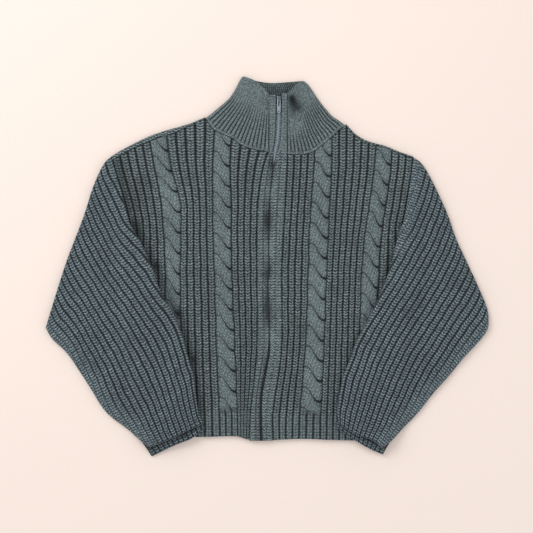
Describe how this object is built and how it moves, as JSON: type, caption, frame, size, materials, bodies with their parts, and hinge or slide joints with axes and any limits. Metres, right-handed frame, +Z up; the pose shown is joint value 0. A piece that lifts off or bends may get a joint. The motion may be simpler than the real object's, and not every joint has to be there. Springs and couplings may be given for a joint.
{
  "type": "zip-up cable-knit cardigan",
  "caption": "Cropped knitted cardigan with ribs and cables, full sleeves, a high ribbed collar and a front zip, laid flat on its back with the sleeves folded down.",
  "frame": {"origin": "on the flat underside of the back panel, which rests on the table, near the middle of the body", "axes": "+Z up from the table, +Y from the hem towards the collar, +X towards the wearer's left sleeve, which is the picture's right"},
  "size_m": [0.688, 0.59, 0.0184],
  "materials": {
    "knit": "matte heathered wool-blend knit",
    "tape": "woven polyester tape",
    "metal": "satin nickel"
  },
  "bodies": {
    "garment": {"back": "knit", "right_front": "knit", "left_front": "knit", "right_sleeve": "knit", "left_sleeve": "knit", "collar": "knit", "right_front_band": "knit", "left_front_band": "knit", "right_zip_tape": "tape", "left_zip_tape": "tape", "zip_chain": "metal", "slider": "metal"},
    "pull_tab": {"pull_tab": "metal"}
  },
  "joints": [
    {"name": "pull_tab_hinge", "type": "hinge", "parent": "garment", "child": "pull_tab", "pos_m": [0.01611, 0.258, 0.00895], "axis": [-1, 0, 0], "range_deg": [0, 170]}
  ]
}
